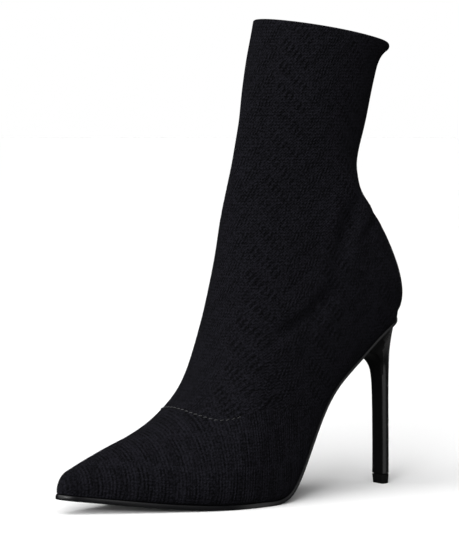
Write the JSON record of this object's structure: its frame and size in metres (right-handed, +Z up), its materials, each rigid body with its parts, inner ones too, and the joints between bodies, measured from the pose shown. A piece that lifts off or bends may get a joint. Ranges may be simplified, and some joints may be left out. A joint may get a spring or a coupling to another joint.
{
  "type": "sock boot",
  "caption": "Left ankle sock boot of fine black knit with a pointed toe, a high slender glossy heel, a thin sole and a plain open collar.",
  "frame": {"origin": "on the ground, under the centre of the boot's bounding box", "axes": "+X towards the toe, +Y to the outer side of the left foot, +Z up"},
  "size_m": [0.2306, 0.0786, 0.2734],
  "materials": {
    "knit": "fine black rib and herringbone knit, matt",
    "lining": "smooth black insole cover",
    "sole": "black, satin, with a polished edge",
    "heel": "black lacquer, glossy",
    "lift": "black, satin"
  },
  "bodies": {
    "root": {"upper": "knit", "insole": "lining", "outsole": "sole", "heel": "heel", "top_lift": "lift"}
  },
  "joints": []
}
